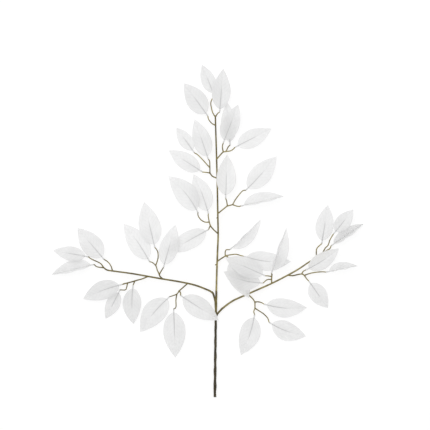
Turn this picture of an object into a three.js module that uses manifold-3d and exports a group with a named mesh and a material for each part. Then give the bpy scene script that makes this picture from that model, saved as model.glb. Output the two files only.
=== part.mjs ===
// Artificial ficus leaf spray lying on a surface: a tape-wrapped stem with a wire core, three moulded
// branches with their twigs, and fourteen sprigs of three white fabric leaves.
// Millimetres. +Z is up from the surface, +Y runs from the cut end of the stem to the topmost leaf.
import * as THREE from "three";
import { mergeVertices } from "three/addons/utils/BufferGeometryUtils.js";
import Module from "manifold-3d";

// Driving dimensions of the stem and its wire
const STEM_RADIUS = 2.6;
const STEM_TOP_RADIUS = 1.95;
const ARM_ROOT_RADIUS = 1.9;
const STEM_KNOT = 0.35;
const STEM_KNOT_PITCH = 26.3;
const STEM_FIRST_WAIST = 7;
const STEM_AXIS_HEIGHT = 2.15;
const WIRE_RADIUS = 0.9;
const WIRE_LENGTH = 100;
const WIRE_SHOWING = 1;

// Driving dimensions of the branches and twigs
const BRANCH_ROOT_RADIUS = 1.85;
const BRANCH_TIP_RADIUS = 1.4;
const BRANCH_PEG_RADIUS = 0.9;
const BRANCH_PEG_DEPTH = 9;
const STALK_RADIUS = 1.2;
const TWIG_ROOT_RADIUS = 1.1;
const TWIG_END_RADIUS = 0.95;
const CLEARANCE = 0.3;
const SHOULDER_GAP = 0.6;

// Driving dimensions of a leaf: the blade, its rib and the socket at the rib's base
const BLADE_THICKNESS = 0.7;
const RIB_HALF_WIDTH = 1.2;
const RIB_DEPTH = 0.5;
const RIB_REACH = 0.7;
const RIB_END_SHARE = 0.4;
const RIB_MOST_OF_BLADE = 0.5;
const TIP_HALF_WIDTH = 0.35;
const EDGE_WAVE = 0.9;
const EDGE_WAVES = 2.3;
const SOCKET_DEPTH = 5;
const SOCKET_FLOOR = 0.8;
const SOCKET_RADIUS = 1.45;
const SOCKET_BORE = 0.85;
const ROOT_RADIUS = 1.15;
const USUAL_FOLD = [10, 10];
const USUAL_ARCH = 2;
const SHARE_AT_TIP = 1.1;
const SHARE_AT_BASE = 0.66;
const BLADE_ROWS = [0.05, 0.16, 0.33, 0.54, 0.78, 1];

// Facets round each kind of tube
const STEM_SIDES = 8;
const BRANCH_SIDES = 6;
const TWIG_SIDES = 6;
const LEAF_SIDES = 10;

// Steps along the stem, and between two listed points of a branch
const STEM_STEPS = 36;
const BRANCH_STEPS = 2;

// Centre lines of the stem and of its two side arms, from the cut end up
const STEM_LINE = [
  [0, 0, STEM_AXIS_HEIGHT],
  [0.5, 49, STEM_AXIS_HEIGHT],
  [1, 94, STEM_AXIS_HEIGHT],
  [1.5, 130, 2.2],
  [2, 155, 3],
  [2.6, 188, 4.8],
];
const LEFT_ARM = [
  [1.9, 152, 2.9],
  [0.6, 170, 3.8],
  [-0.8, 179, 4.3],
  [-3.5, 186.5, 4.8],
];
const RIGHT_ARM = [
  [1.7, 139, 2.3],
  [3.5, 147, 2.5],
  [7, 152.5, 2.7],
  [12, 158, 3.1],
];

// What holds each branch
const HOLDERS = { centre: STEM_LINE, left: LEFT_ARM, right: RIGHT_ARM };

// Centre lines of the branches, each from the arm that holds it out to its end
const BRANCHES = {
  centre: [
    [2.6, 188, 4.8],
    [2.8, 199, 5.6],
    [3.6, 229, 8],
    [4.9, 265, 11],
    [5.9, 292, 12.5],
    [5.3, 325, 13],
    [4.5, 373, 12.5],
    [3.6, 409, 12],
    [2.5, 450, 11.5],
    [1.5, 482, 11],
    [0.9, 504, 10.5],
  ],
  left: [
    [-3.5, 186.5, 4.8],
    [-7.5, 190, 5.2],
    [-16, 194, 6],
    [-36, 201.5, 8],
    [-63, 207.5, 10],
    [-99, 213.5, 11.5],
    [-144, 221.5, 11.5],
    [-176, 226, 11],
    [-193, 228.5, 10.5],
    [-200, 233, 10.5],
  ],
  right: [
    [12, 158, 3.1],
    [20, 164.5, 3.7],
    [29, 171, 4.6],
    [38, 176, 5.5],
    [56, 184, 7],
    [74, 192, 8.5],
    [103, 205, 10],
    [135, 221.5, 10],
    [153, 232, 9.5],
    [165.5, 240.5, 9.5],
    [185, 253, 10],
    [203.5, 265, 10.5],
  ],
};

// The sprigs. A stalk or twig is listed in plan, from its root outwards, and takes its root's height from
// what it grows on. A leaf runs from base to tip in space. fold is how far its left and right halves are
// raised, in degrees, arch how far its middle rises and bend how far its middle swings to the left.
const SPRIGS = [
  {
    name: "c1",
    branch: "centre",
    leaves: [
      {
        twig: [[1, 504], [-4, 512], [-7, 524], [-7, 531], [-4, 538]],
        base: [-3, 547, 9],
        tip: [-23, 598, 0.4],
        width: 26,
      },
      { twig: [[1, 504], [5, 510]], base: [9, 518, 13], tip: [15, 590, 16], width: 34 },
      {
        twig: [[1, 489], [-5, 492], [-11, 499]],
        base: [-16, 510, 14],
        tip: [-55, 564, 17],
        width: 37,
      },
    ],
  },
  {
    name: "c2",
    branch: "centre",
    stalk: [[4, 428], [12, 438], [15, 441]],
    stalkTop: 12,
    leaves: [
      { twig: [[15, 441], [13.5, 450]], base: [17, 462, 14], tip: [42, 526, 21], width: 34 },
      {
        twig: [[15, 441], [22, 442], [28, 443], [33, 446]],
        base: [41, 452, 9],
        tip: [102, 483, 3],
        width: 33,
      },
      { twig: [[20, 442], [24, 450]], base: [27, 459, 8], tip: [22, 531, 2.5], width: 29 },
    ],
  },
  {
    name: "c3",
    branch: "centre",
    stalk: [[4, 394], [-4, 397], [-9, 403]],
    stalkTop: 12,
    leaves: [
      { twig: [[-9, 403], [-14, 404]], base: [-27, 408, 9], tip: [-83, 444, 4], width: 31 },
      {
        twig: [[-9, 403], [-9, 414], [-9.5, 424]],
        base: [-13.5, 433, 14],
        tip: [-36, 499, 19],
        width: 34,
      },
      {
        twig: [[-9, 413], [-14, 418], [-22, 427], [-31, 436]],
        base: [-40, 444, 9],
        tip: [-69, 485, 0.4],
        width: 25,
      },
    ],
  },
  {
    name: "c4",
    branch: "centre",
    stalk: [[5, 330], [12.5, 336], [22.5, 344]],
    stalkTop: 14,
    leaves: [
      { twig: [[22.5, 344], [21, 353]], base: [19.5, 363, 17], tip: [22, 436, 18], width: 36 },
      {
        twig: [[22.5, 344], [31.5, 346.5], [36, 354], [43, 363.5], [50, 371]],
        base: [59.5, 376, 13],
        tip: [111, 433, 8],
        width: 38,
        bend: -1,
      },
      {
        twig: [[31.5, 346.5], [38, 344], [43, 343]],
        base: [52, 345, 12],
        tip: [124, 361, 12],
        width: 34,
        fold: [8, 80],
      },
    ],
  },
  {
    name: "c5",
    branch: "centre",
    stalk: [[5, 294], [-2, 301], [-8, 308]],
    stalkTop: 13,
    leaves: [
      {
        twig: [[-8, 308], [-10, 315], [-12, 326]],
        base: [-13, 335, 11],
        tip: [-38, 401, 2.5],
        width: 36,
        bend: -1.5,
      },
      {
        twig: [[-9.5, 315], [-18, 315], [-25, 319], [-30, 326]],
        base: [-33, 337, 17],
        tip: [-83, 397, 20],
        width: 40,
        bend: -4,
      },
      { twig: [[-8, 308], [-10, 305]], base: [-16, 299, 9], tip: [-86, 260, 3], width: 34 },
    ],
  },
  {
    name: "c6",
    branch: "centre",
    stalk: [[4.5, 244], [11, 249], [19, 254]],
    stalkTop: 12,
    leaves: [
      {
        twig: [[19, 254], [18.5, 260.5], [20.5, 265]],
        base: [30.5, 269, 13],
        tip: [83, 320, 14],
        width: 36,
        fold: [88, 8],
      },
      {
        twig: [[19, 254], [27, 256], [38, 257], [46, 255]],
        base: [57, 252, 17],
        tip: [137, 244, 11],
        width: 35,
        bend: -4,
      },
      {
        twig: [[20, 253.5]],
        base: [29, 245, 11.8],
        tip: [61, 178.5, 10.2],
        width: 37,
        fold: [2, 2],
      },
    ],
  },
  {
    name: "l1",
    branch: "left",
    stalk: [[-49, 204.5], [-57.5, 197], [-64, 191.5]],
    stalkTop: 11,
    leaves: [
      {
        twig: [[-64, 191.5], [-68.5, 185.5], [-77, 182]],
        base: [-85.5, 177, 9],
        tip: [-134, 117, 0.4],
        width: 42,
        bend: -3,
      },
      {
        twig: [[-68.5, 185.5], [-70, 174.5], [-70, 162]],
        base: [-74, 153, 11],
        tip: [-71, 71, 0.4],
        width: 41,
      },
      {
        twig: [[-64, 191.5], [-61.5, 187]],
        base: [-57, 180, 13],
        tip: [6.5, 138.6, 8.5],
        width: 38,
      },
    ],
  },
  {
    name: "l2",
    branch: "left",
    stalk: [[-94, 213], [-99, 218], [-100, 221.5]],
    stalkTop: 12,
    leaves: [
      {
        twig: [[-100, 221.5], [-103.5, 228.5], [-106, 236], [-112, 242]],
        base: [-120, 248.5, 9],
        tip: [-164, 311.5, 2],
        width: 38,
        bend: -2,
      },
      {
        twig: [[-106, 237], [-103.5, 245], [-102, 252], [-102.5, 261], [-105, 266]],
        base: [-109, 274.5, 16],
        tip: [-127, 351, 20],
        width: 40,
      },
      {
        twig: [[-99.5, 221], [-95.5, 228.5]],
        base: [-91, 238.5, 12],
        tip: [-70.5, 310.5, 13],
        width: 34,
      },
    ],
  },
  {
    name: "l3",
    branch: "left",
    stalk: [[-120, 217], [-130, 213], [-139, 210.5], [-151, 207], [-163, 204]],
    stalkTop: 11,
    leaves: [
      {
        twig: [[-163, 204]],
        base: [-172, 201.5, 12],
        tip: [-237, 176.5, 9],
        width: 35,
        bend: -2,
      },
      {
        twig: [[-157, 205.5], [-158.5, 198], [-161, 193]],
        base: [-173, 188, 8],
        tip: [-197, 140.5, 0.4],
        width: 26,
      },
      {
        twig: [[-144, 209]],
        base: [-147.5, 196, 13],
        tip: [-146.5, 131.5, 6],
        width: 34,
        bend: -2,
      },
    ],
  },
  {
    name: "l4",
    branch: "left",
    leaves: [
      {
        twig: [[-200, 233], [-207, 233.5], [-213, 235]],
        base: [-223, 237.5, 8],
        tip: [-293.5, 220.5, 4],
        width: 34,
        fold: [75, 8],
      },
      {
        twig: [[-200, 233], [-204.5, 239.5], [-211, 243.5], [-221, 248]],
        base: [-233, 253.5, 13],
        tip: [-290, 264, 14],
        width: 27,
      },
      {
        twig: [[-184, 228], [-187, 236.5], [-193, 244]],
        base: [-202.5, 252, 15],
        tip: [-246, 304, 20],
        width: 38,
      },
    ],
  },
  {
    name: "r1",
    branch: "right",
    stalk: [[60, 183.5], [64, 181], [68.5, 176.5], [72, 171]],
    stalkTop: 9,
    leaves: [
      {
        twig: [[72, 171], [72, 160], [70, 154]],
        base: [70.5, 143, 6],
        tip: [47, 75.5, 0.4],
        width: 38,
        bend: 2.7,
      },
      {
        twig: [[72, 160], [79, 155.5], [88, 149.5], [95, 142]],
        base: [102.5, 131.5, 7],
        tip: [164, 109, 0.4],
        width: 35,
        bend: -3,
      },
      {
        twig: [[72, 171], [77.5, 171.5], [84, 170]],
        base: [93.5, 166, 10],
        tip: [165.5, 161, 7],
        width: 35,
        bend: -3.5,
      },
    ],
  },
  {
    name: "r2",
    branch: "right",
    stalk: [[102, 205], [102, 214], [102.5, 221]],
    stalkTop: 18,
    leaves: [
      {
        twig: [[102, 211.5], [94, 211.5]],
        base: [81, 206, 24],
        tip: [15.5, 226, 22],
        width: 34,
        fold: [4, 4],
        bend: 4.5,
      },
      { twig: [[102, 217], [95, 218.5]], base: [85.5, 221, 30], tip: [19, 251, 25], width: 36 },
      {
        twig: [[102.5, 221]],
        base: [103, 228, 21.5],
        tip: [128, 304, 28],
        width: 36,
        fold: [78, 8],
      },
    ],
  },
  {
    name: "r3",
    branch: "right",
    stalk: [[131.5, 219.5], [140, 218.5], [149, 220.5], [156.5, 221.5], [161, 219]],
    stalkTop: 10,
    leaves: [
      {
        twig: [[156.5, 221.5], [158.5, 226]],
        base: [168.5, 231.5, 14],
        tip: [223, 267.5, 17],
        width: 30,
        bend: -2,
      },
      {
        twig: [[161, 219], [167.5, 221.5], [175, 223.5], [185, 225], [194, 225.5]],
        base: [205, 226, 11],
        tip: [256.5, 236, 10],
        width: 26,
        fold: [8, 86],
      },
      { twig: [[161, 219], [165, 213]], base: [172, 204.5, 7], tip: [203.5, 160, 0.4], width: 32 },
    ],
  },
  {
    name: "r4",
    branch: "right",
    leaves: [
      {
        twig: [[182.5, 252], [182.5, 263], [184.5, 269]],
        base: [193, 281.5, 9],
        tip: [203.5, 345.5, 4],
        width: 33,
      },
      {
        twig: [[192.5, 260], [198, 267.5], [203.5, 273.5], [207, 283.5]],
        base: [216.5, 298, 16.5],
        tip: [248.5, 337.5, 19],
        width: 28,
      },
      {
        twig: [[203.5, 265], [207, 267.5]],
        base: [214, 275.5, 6.5],
        tip: [267.5, 311.5, 2.5],
        width: 32,
        fold: [32, 74],
      },
    ],
  },
];

// Points this close are one point, and a box of this size holds the whole spray
const SAME_POINT = 1e-4;
const ROOM = 1000;
const UP = new THREE.Vector3(0, 0, 1);
const LEAF_LETTERS = ["a", "b", "c"];

const wasm = await Module();
wasm.setup();

// Materials
function finish(color, roughness, metalness) {
  return new THREE.MeshStandardMaterial({ color, roughness, metalness });
}

function leafFabric() {
  return finish(0xf1f1f0, 0.75, 0);
}

function branchPlastic() {
  return finish(0x6e6444, 0.65, 0);
}

function stemTape() {
  return finish(0x3f3a29, 0.8, 0);
}

function wireSteel() {
  return finish(0x9a9a98, 0.35, 1);
}

// Solids: joining, cutting and turning them back into geometry
function toSolid(geometry) {
  const bare = geometry.clone();
  bare.deleteAttribute("normal");
  bare.deleteAttribute("uv");
  const merged = mergeVertices(bare, SAME_POINT);
  return new wasm.Manifold(
    new wasm.Mesh({
      numProp: 3,
      vertProperties: new Float32Array(merged.attributes.position.array),
      triVerts: new Uint32Array(merged.index.array),
    }),
  );
}

function toGeometry(solid) {
  const mesh = solid.getMesh();
  const geometry = new THREE.BufferGeometry();
  geometry.setAttribute("position", new THREE.BufferAttribute(mesh.vertProperties, 3));
  geometry.setIndex(new THREE.BufferAttribute(mesh.triVerts, 1));
  geometry.computeVertexNormals();
  return geometry;
}

function joined(geometries) {
  return geometries.map(toSolid).reduce((whole, piece) => whole.add(piece));
}

// A closed skin over rings of equal, even point count. Facing pairs of points in the two halves of a ring
// are split along the same diagonal, so a thin waved skin never crosses itself.
function skin(rings) {
  const count = rings[0].length;
  const half = count / 2;
  const points = rings.flat().flatMap((p) => [p.x, p.y, p.z]);
  const faces = [];
  for (let i = 0; i + 1 < rings.length; i += 1) {
    for (let k = 0; k < count; k += 1) {
      const next = (k + 1) % count;
      const a = i * count + k;
      const b = i * count + next;
      const c = (i + 1) * count + next;
      const d = (i + 1) * count + k;
      if (k < half) {
        faces.push(a, b, c, a, c, d);
      } else {
        faces.push(a, b, d, b, c, d);
      }
    }
  }
  const last = (rings.length - 1) * count;
  for (let k = 0; k + 1 < half; k += 1) {
    const facing = count - 1 - k;
    faces.push(k, facing, k + 1, k + 1, facing, facing - 1);
    faces.push(last + k, last + k + 1, last + facing);
    faces.push(last + k + 1, last + facing - 1, last + facing);
  }
  const geometry = new THREE.BufferGeometry();
  geometry.setAttribute("position", new THREE.Float32BufferAttribute(points, 3));
  geometry.setIndex(faces);
  return geometry;
}

// A ring of points, going from the left side over the top to the right side and back underneath
function round(centre, left, over, radius, sides) {
  return Array.from({ length: sides }, (_, k) => {
    const angle = (2 * Math.PI * (k + 0.5)) / sides;
    const ring = centre.clone().addScaledVector(left, radius * Math.cos(angle));
    return ring.addScaledVector(over, radius * Math.sin(angle));
  });
}

// A closed round tube through the given points, with one radius for each point
function tube(points, radii, sides) {
  let left = null;
  const rings = points.map((point, i) => {
    const before = points[Math.max(i - 1, 0)];
    const after = points[Math.min(i + 1, points.length - 1)];
    const along = after.clone().sub(before).normalize();
    left = left ?? new THREE.Vector3().crossVectors(UP, along);
    left.addScaledVector(along, -left.dot(along)).normalize();
    const over = new THREE.Vector3().crossVectors(along, left);
    return round(point, left, over, radii[i], sides);
  });
  return skin(rings);
}

const vector = (p) => new THREE.Vector3(...p);
const mix = THREE.MathUtils.lerp;

// Unit direction in which a line of points ends
function endDirection(line) {
  return line.at(-1).clone().sub(line.at(-2)).normalize();
}

// One radius for each point of a line, running evenly from the first value to the second
function tapered(line, from, to) {
  const last = Math.max(line.length - 1, 1);
  return line.map((_, i) => mix(from, to, i / last));
}

// Stem: the wrapped tube swells and narrows where the tape overlaps
function stemRadius(y, top) {
  const knot = -STEM_KNOT * Math.cos((2 * Math.PI * (y - STEM_FIRST_WAIST)) / STEM_KNOT_PITCH);
  return mix(STEM_RADIUS, STEM_TOP_RADIUS, y / top) + knot * (1 - y / top);
}

function stemTube() {
  const line = new THREE.CatmullRomCurve3(STEM_LINE.map(vector));
  const points = line.getPoints(STEM_STEPS);
  const top = points.at(-1).y;
  const radii = points.map((p) => stemRadius(p.y, top));
  return tube(points, radii, STEM_SIDES);
}

function armTube(arm) {
  const points = arm.map(vector);
  return tube(points, tapered(points, ARM_ROOT_RADIUS, STEM_TOP_RADIUS), STEM_SIDES);
}

// The plain hole in the end of the stem or of an arm that a branch's peg stands in
function pegHole(line) {
  const points = line.map(vector);
  const along = endDirection(points);
  const mouth = points.at(-1);
  const floor = mouth.clone().addScaledVector(along, -BRANCH_PEG_DEPTH);
  const beyond = mouth.clone().addScaledVector(along, CLEARANCE);
  const radius = BRANCH_PEG_RADIUS + CLEARANCE;
  return tube([floor, beyond], [radius, radius], STEM_SIDES);
}

// Points along the wire, from past the cut end to its inner end
function wireLine(outside, inside) {
  return [
    new THREE.Vector3(0, -outside, STEM_AXIS_HEIGHT),
    vector(STEM_LINE[1]),
    new THREE.Vector3(STEM_LINE[2][0], inside, STEM_AXIS_HEIGHT),
  ];
}

function stemWrap() {
  const holes = [STEM_LINE, LEFT_ARM, RIGHT_ARM].map(pegHole);
  const boreRadius = WIRE_RADIUS + CLEARANCE;
  const bore = wireLine(2 * WIRE_SHOWING, WIRE_LENGTH + CLEARANCE);
  holes.push(tube(bore, bore.map(() => boreRadius), STEM_SIDES));
  const whole = joined([stemTube(), armTube(LEFT_ARM), armTube(RIGHT_ARM)]);
  const aboveSurface = new THREE.BoxGeometry(ROOM, ROOM, ROOM).translate(0, 0, ROOM / 2);
  const cut = holes.map(toSolid).reduce((left, hole) => left.subtract(hole), whole);
  return toGeometry(cut.intersect(toSolid(aboveSurface)));
}

function stemWire() {
  const line = wireLine(WIRE_SHOWING, WIRE_LENGTH);
  return tube(line, line.map(() => WIRE_RADIUS), STEM_SIDES);
}

// Leaf geometry
// The blade's half width at a share u of its length, as a share of its widest half width
function bladeShare(u) {
  const widest = SHARE_AT_BASE / (SHARE_AT_BASE + SHARE_AT_TIP);
  const shape = (x) => x ** SHARE_AT_BASE * (1 - x) ** SHARE_AT_TIP;
  return shape(u) / shape(widest);
}

// The leaf's own directions: along from base to tip, left across it, and over away from the surface
function leafAxes(leaf) {
  const base = vector(leaf.base);
  const span = vector(leaf.tip).sub(base);
  const along = span.clone().normalize();
  const left = new THREE.Vector3().crossVectors(UP, along).normalize();
  const over = new THREE.Vector3().crossVectors(along, left);
  const swing = new THREE.Vector3()
    .addScaledVector(over, 4 * (leaf.arch ?? USUAL_ARCH))
    .addScaledVector(left, 4 * (leaf.bend ?? 0));
  const start = span.clone().add(swing).normalize();
  return { base, span, along, left, over, swing, start };
}

// Where the leaf's socket opens towards its twig
function socketMouth(leaf) {
  const { base, start } = leafAxes(leaf);
  return base.addScaledVector(start, -SOCKET_DEPTH);
}

// One ring round the blade: five points over the top from the left edge, five back underneath
function bladeRing(leaf, axes, u, phase) {
  const centre = axes.base.clone().addScaledVector(axes.span, u);
  centre.addScaledVector(axes.swing, u * (1 - u));
  const halfWidth = Math.max((leaf.width / 2) * bladeShare(u), TIP_HALF_WIDTH);
  const taper = Math.max(1 - u / RIB_REACH, 0);
  const rib = Math.min(RIB_HALF_WIDTH * mix(RIB_END_SHARE, 1, taper), halfWidth * RIB_MOST_OF_BLADE);
  const ribDepth = RIB_DEPTH * Math.sqrt(taper);
  const fold = (leaf.fold ?? USUAL_FOLD).map((angle) => THREE.MathUtils.degToRad(angle));
  const wave = EDGE_WAVE * bladeShare(u);
  const columns = [
    { out: halfWidth, side: 0, lift: wave * Math.sin(2 * Math.PI * EDGE_WAVES * u + phase) },
    { out: rib, side: 0, lift: 0 },
    { out: 0, side: 0, lift: 0 },
    { out: rib, side: 1, lift: 0 },
    { out: halfWidth, side: 1, lift: wave * Math.sin(2 * Math.PI * EDGE_WAVES * u + 2 * phase) },
  ];
  const point = (column, offset) => {
    const angle = fold[column.side];
    const outward = column.side === 0 ? 1 : -1;
    const normalLeft = column.out === 0 ? 0 : -outward * Math.sin(angle);
    const normalOver = column.out === 0 ? 1 : Math.cos(angle);
    const reach = offset + column.lift;
    return centre
      .clone()
      .addScaledVector(axes.left, outward * column.out * Math.cos(angle) + normalLeft * reach)
      .addScaledVector(axes.over, column.out * Math.sin(angle) + normalOver * reach);
  };
  const halfThick = BLADE_THICKNESS / 2;
  const top = columns.map((column) => point(column, halfThick));
  const below = columns.map((column) => point(column, -halfThick - (column.out ? 0 : ribDepth)));
  return [...top, ...below.reverse()];
}

// A leaf: the bored socket at the rib's base, opening out into the blade with its rib underneath
function leafGeometry(leaf, phase) {
  const axes = leafAxes(leaf);
  const left = axes.left.clone().addScaledVector(axes.start, -axes.left.dot(axes.start)).normalize();
  const over = new THREE.Vector3().crossVectors(axes.start, left);
  const socketRing = (back, radius) => {
    const centre = axes.base.clone().addScaledVector(axes.start, -back);
    return round(centre, left, over, radius, LEAF_SIDES);
  };
  return skin([
    socketRing(SOCKET_FLOOR, SOCKET_BORE),
    socketRing(SOCKET_DEPTH, SOCKET_BORE),
    socketRing(SOCKET_DEPTH, SOCKET_RADIUS),
    socketRing(0, ROOT_RADIUS),
    ...BLADE_ROWS.map((u) => bladeRing(leaf, axes, u, phase)),
  ]);
}

// Branches with their twigs
// The point on the carrying lines that is nearest in plan to a listed root
function rootOn(carriers, [x, y]) {
  let best = null;
  let nearest = Infinity;
  for (const line of carriers) {
    for (let i = 0; i + 1 < line.length; i += 1) {
      const span = line[i + 1].clone().sub(line[i]);
      const share = ((x - line[i].x) * span.x + (y - line[i].y) * span.y) / (span.x ** 2 + span.y ** 2);
      const point = line[i].clone().addScaledVector(span, THREE.MathUtils.clamp(share, 0, 1));
      const distance = Math.hypot(point.x - x, point.y - y);
      if (distance < nearest) {
        nearest = distance;
        best = point;
      }
    }
  }
  return best;
}

// A line in space over points listed in plan, rising evenly from its root to its end
function lifted(root, plan, end) {
  const flat = [root, ...plan.slice(1).map(([x, y]) => new THREE.Vector3(x, y, 0)), end];
  const steps = flat.map((p, i) => (i ? Math.hypot(p.x - flat[i - 1].x, p.y - flat[i - 1].y) : 0));
  const total = steps.reduce((sum, step) => sum + step, 0);
  let run = 0;
  return flat.map((p, i) => {
    run += steps[i];
    return new THREE.Vector3(p.x, p.y, mix(root.z, end.z, run / total));
  });
}

// A twig along its line, ending in the peg that the leaf's socket is pushed on
function twigTube(line, leaf) {
  const { base, start } = leafAxes(leaf);
  const shoulder = line.at(-1).clone().addScaledVector(start, -SHOULDER_GAP);
  const pegEnd = base.clone().addScaledVector(start, -SOCKET_FLOOR - CLEARANCE);
  const pegRadius = SOCKET_BORE - CLEARANCE;
  const body = [...line.slice(0, -1), shoulder];
  return tube(
    [...body, shoulder, pegEnd],
    [...tapered(body, TWIG_ROOT_RADIUS, TWIG_END_RADIUS), pegRadius, pegRadius],
    TWIG_SIDES,
  );
}

// The branch itself: a peg in its holder, a shoulder just clear of the holder, then the tapering branch
function branchTube(name, points) {
  const along = endDirection(HOLDERS[name].map(vector));
  const pegFoot = points[0].clone().addScaledVector(along, CLEARANCE - BRANCH_PEG_DEPTH);
  const shoulder = points[0].clone().addScaledVector(along, CLEARANCE);
  const neck = points[0].clone().addScaledVector(along, BRANCH_ROOT_RADIUS);
  const body = [shoulder, neck, ...points.slice(1)];
  return tube(
    [pegFoot, shoulder, ...body],
    [BRANCH_PEG_RADIUS, BRANCH_PEG_RADIUS, ...tapered(body, BRANCH_ROOT_RADIUS, BRANCH_TIP_RADIUS)],
    BRANCH_SIDES,
  );
}

function branchGeometry(name) {
  const curve = new THREE.CatmullRomCurve3(BRANCHES[name].map(vector));
  const points = curve.getPoints(BRANCH_STEPS * (BRANCHES[name].length - 1));
  const pieces = [branchTube(name, points)];
  for (const sprig of SPRIGS.filter((candidate) => candidate.branch === name)) {
    const carriers = [points];
    if (sprig.stalk) {
      const [x, y] = sprig.stalk.at(-1);
      const end = new THREE.Vector3(x, y, sprig.stalkTop);
      const stalk = lifted(rootOn(carriers, sprig.stalk[0]), sprig.stalk.slice(0, -1), end);
      carriers.push(stalk);
      pieces.push(tube(stalk, stalk.map(() => STALK_RADIUS), TWIG_SIDES));
    }
    for (const leaf of sprig.leaves) {
      const line = lifted(rootOn(carriers, leaf.twig[0]), leaf.twig, socketMouth(leaf));
      carriers.push(line);
      pieces.push(twigTube(line, leaf));
    }
  }
  return toGeometry(joined(pieces));
}

// The whole spray, with its origin under the middle of its box on the surface
function named(name, geometry, material) {
  const mesh = new THREE.Mesh(geometry, material);
  mesh.name = name;
  return mesh;
}

const spray = new THREE.Group();
spray.add(named("stem_wrap", stemWrap(), stemTape()));
spray.add(named("stem_wire", stemWire(), wireSteel()));
for (const branch of Object.keys(BRANCHES)) {
  spray.add(named(`${branch}_branch`, branchGeometry(branch), branchPlastic()));
}
SPRIGS.forEach((sprig, s) => {
  sprig.leaves.forEach((leaf, i) => {
    const name = `leaf_${sprig.name}_${LEAF_LETTERS[i]}`;
    spray.add(named(name, leafGeometry(leaf, s + 2 * i), leafFabric()));
  });
});
const middle = new THREE.Box3().setFromObject(spray).getCenter(new THREE.Vector3());
spray.position.set(-middle.x, -middle.y, 0);

export default spray;
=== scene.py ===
"""Artificial ficus leaf spray lying flat: white fabric leaves on three slim branches of one stem."""

import math

import bpy
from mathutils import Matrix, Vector


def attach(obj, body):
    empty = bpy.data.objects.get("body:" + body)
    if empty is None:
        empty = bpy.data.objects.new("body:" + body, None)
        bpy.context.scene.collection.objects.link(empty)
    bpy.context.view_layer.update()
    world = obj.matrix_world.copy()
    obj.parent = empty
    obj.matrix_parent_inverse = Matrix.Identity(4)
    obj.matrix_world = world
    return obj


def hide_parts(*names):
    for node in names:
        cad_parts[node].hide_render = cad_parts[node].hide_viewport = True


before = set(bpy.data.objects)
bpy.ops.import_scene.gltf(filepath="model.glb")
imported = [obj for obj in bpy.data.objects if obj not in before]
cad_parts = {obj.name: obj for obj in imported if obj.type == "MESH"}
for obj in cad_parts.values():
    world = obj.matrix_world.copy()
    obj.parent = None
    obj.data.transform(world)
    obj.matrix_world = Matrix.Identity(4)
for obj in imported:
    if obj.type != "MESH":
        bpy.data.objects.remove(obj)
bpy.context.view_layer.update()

MM = 0.001
UP = Vector((0, 0, 1))

# The middle of the stem's cut end in the part's frame.
# Every point listed below counts from it, in millimetres.
CUT_END = Vector((12.9185, -298.5769, 0))

# Stem: wire wound with tape, in soft lobes that twist along it
STEM_AXIS_HEIGHT = 2.15
STEM_RADIUS = 2.55
STEM_TOP_RADIUS = 1.95
ARM_ROOT_RADIUS = 1.5
SLEEVE_RADIUS = 1.85
SLEEVE_LENGTH = 3.5
KNOT_RISE = 0.35
KNOT_PITCH = 26.3
FIRST_WAIST = 7
LOBES = 3
LOBE_RISE = 0.16
LOBE_PITCH = 55
TAPE_PITCH = 6.5
TAPE_THICKNESS = 0.24
# Shares of a turn of tape: its raised edge, and the strip along it that carries a painted highlight
TAPE_EDGE = 0.12
TAPE_EDGE_HIGHLIGHT = 0.16
CRUMPLE = 0.22
OLIVE_FROM = 128
OLIVE_OVER = 30
WIRE_RADIUS = 0.9
WIRE_LENGTH = 100
WIRE_SHOWING = 1

# Branches and twigs
BRANCH_ROOT_RADIUS = 1.75
BRANCH_TIP_RADIUS = 1.3
BRANCH_PEG_RADIUS = 0.9
BRANCH_PEG_DEPTH = 9
STALK_RADIUS = 1.2
TWIG_ROOT_RADIUS = 1.1
TWIG_END_RADIUS = 0.95
TWIG_PEG_RADIUS = 0.55
STUB_ROOT_RADIUS = 1
STUB_END_RADIUS = 0.85
CLEARANCE = 0.3
SHOULDER_GAP = 0.6
SHOULDER_LENGTH = 0.2
NECK_LENGTH = 0.4
# The first point of a branch's smooth line that lies past its shoulder
FIRST_PAST_SHOULDER = 3

# Leaves
USUAL_LENGTH = 70
USUAL_WIDTH = 34
USUAL_FOLD = (10, 10)
USUAL_ARCH = 2
# Powers of the blade's outline, towards its base and towards its tip
SHARE_AT_BASE = 0.66
SHARE_AT_TIP = 0.98
BLADE_THICKNESS = 0.32
BLADE_CROWN = 0.5
EDGE_WAVE = 0.9
EDGE_WAVES = 2.3
BLADE_ROWS = 36
ROW_CROWDING = 1.3
# Columns of a half blade: their even share from rib to edge, and their place
BLADE_COLUMNS = [
    (0, 0), (1 / 9, 0.036), (2 / 9, 0.11), (3 / 9, 0.21), (4 / 9, 0.34),
    (5 / 9, 0.5), (6 / 9, 0.68), (7 / 9, 0.86), (8 / 9, 0.985), (1, 1),
]
RIB_RISE = 0.6
RIB_WIDTH = 0.6
# Shares of the blade's length: the rib is full up to the first and gone at the second
RIB_FULL_TO = 0.12
RIB_REACH = 0.64
# The share of the rib's rise that is left on a leaf folded shut
FOLDED_RIB = 0.3
# The share of its full width at which a blade has its full thickness
FULL_SKIN_AT = 0.1
SOCKET_DEPTH = 5
SOCKET_FLOOR = 0.8
SOCKET_RADIUS = 1.5
SOCKET_AHEAD = 0.28
SOCKET_ROWS = 11
SOCKET_SPOKES = 13
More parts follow.
